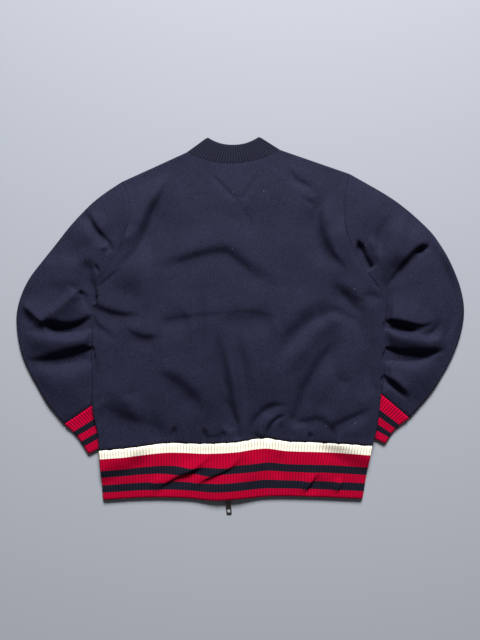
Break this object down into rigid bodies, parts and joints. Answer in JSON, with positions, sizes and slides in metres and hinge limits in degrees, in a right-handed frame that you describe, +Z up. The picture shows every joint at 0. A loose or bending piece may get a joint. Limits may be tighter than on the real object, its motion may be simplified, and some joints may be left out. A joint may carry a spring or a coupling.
{
  "type": "bomber jacket",
  "caption": "Zip-front bomber jacket laid face down: wool body and set-in sleeves, knitted stand collar, striped rib hem and cuffs, hinged zip pull.",
  "frame": {"origin": "centre of the jacket's footprint, on the surface it lies on", "axes": "+X across the jacket towards the wearer's right side, +Y from the hem to the collar, +Z up from the surface"},
  "size_m": [0.8922, 0.753, 0.0209],
  "materials": {
    "navy_wool": "brushed navy wool cloth, matt with a soft nap",
    "navy_rib": "navy knitted rib, matt",
    "striped_rib": "red, navy and cream striped knitted rib, matt",
    "zip_tape": "woven polyester zip tape, dark navy",
    "zip_metal": "dark gunmetal plating, satin"
  },
  "bodies": {
    "jacket": {"back_panel": "navy_wool", "front_left": "navy_wool", "front_right": "navy_wool", "sleeve_left": "navy_wool", "sleeve_right": "navy_wool", "cuff_left": "striped_rib", "cuff_right": "striped_rib", "hem_band": "striped_rib", "collar": "navy_rib", "zip_tape_left": "zip_tape", "zip_tape_right": "zip_tape", "zip_chain_left": "zip_metal", "zip_chain_right": "zip_metal", "zip_stop_left": "zip_metal", "zip_stop_right": "zip_metal", "zip_box": "zip_metal", "zip_slider": "zip_metal"},
    "pull_tab": {"zip_pull": "zip_metal"}
  },
  "joints": [
    {"name": "pull_hinge", "type": "hinge", "parent": "jacket", "child": "pull_tab", "pos_m": [-0.02525, -0.33447, 0.0022], "axis": [1, 0, 0], "range_deg": [-7, 165]}
  ]
}
